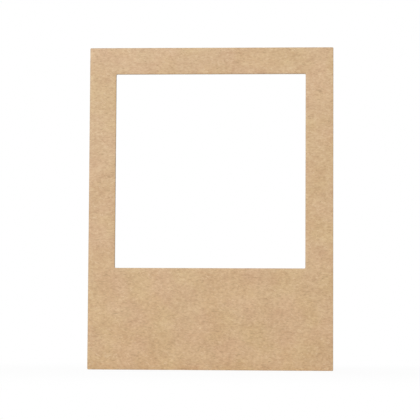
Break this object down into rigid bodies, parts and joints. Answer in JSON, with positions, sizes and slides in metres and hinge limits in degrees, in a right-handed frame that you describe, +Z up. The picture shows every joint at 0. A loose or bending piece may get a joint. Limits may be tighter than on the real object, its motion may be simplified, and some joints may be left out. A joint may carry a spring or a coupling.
{
  "type": "magnetic photo frame",
  "caption": "Portrait kraft board photo frame with a nearly square open window, a deep panel below it, and flexible magnets on its back that hold it to a steel surface.",
  "frame": {"origin": "middle of the lower magnet's back face, on the plane of the steel surface that it holds to", "axes": "+Z up along the height, -Y out of the frame's front, +Y into the steel surface, +X to the right seen from the front"},
  "size_m": [0.09, 0.0024, 0.1188],
  "materials": {
    "kraft_board": "matt uncoated brown kraft board, with fibres and small flecks",
    "magnet": "dark brown ferrite rubber sheet, smooth and satin",
    "adhesive_film": "thin double-sided acrylic adhesive film"
  },
  "bodies": {
    "root": {"frame_card": "kraft_board", "magnet_upper": "magnet", "magnet_lower": "magnet", "adhesive_film_upper": "adhesive_film", "adhesive_film_lower": "adhesive_film"}
  },
  "joints": []
}
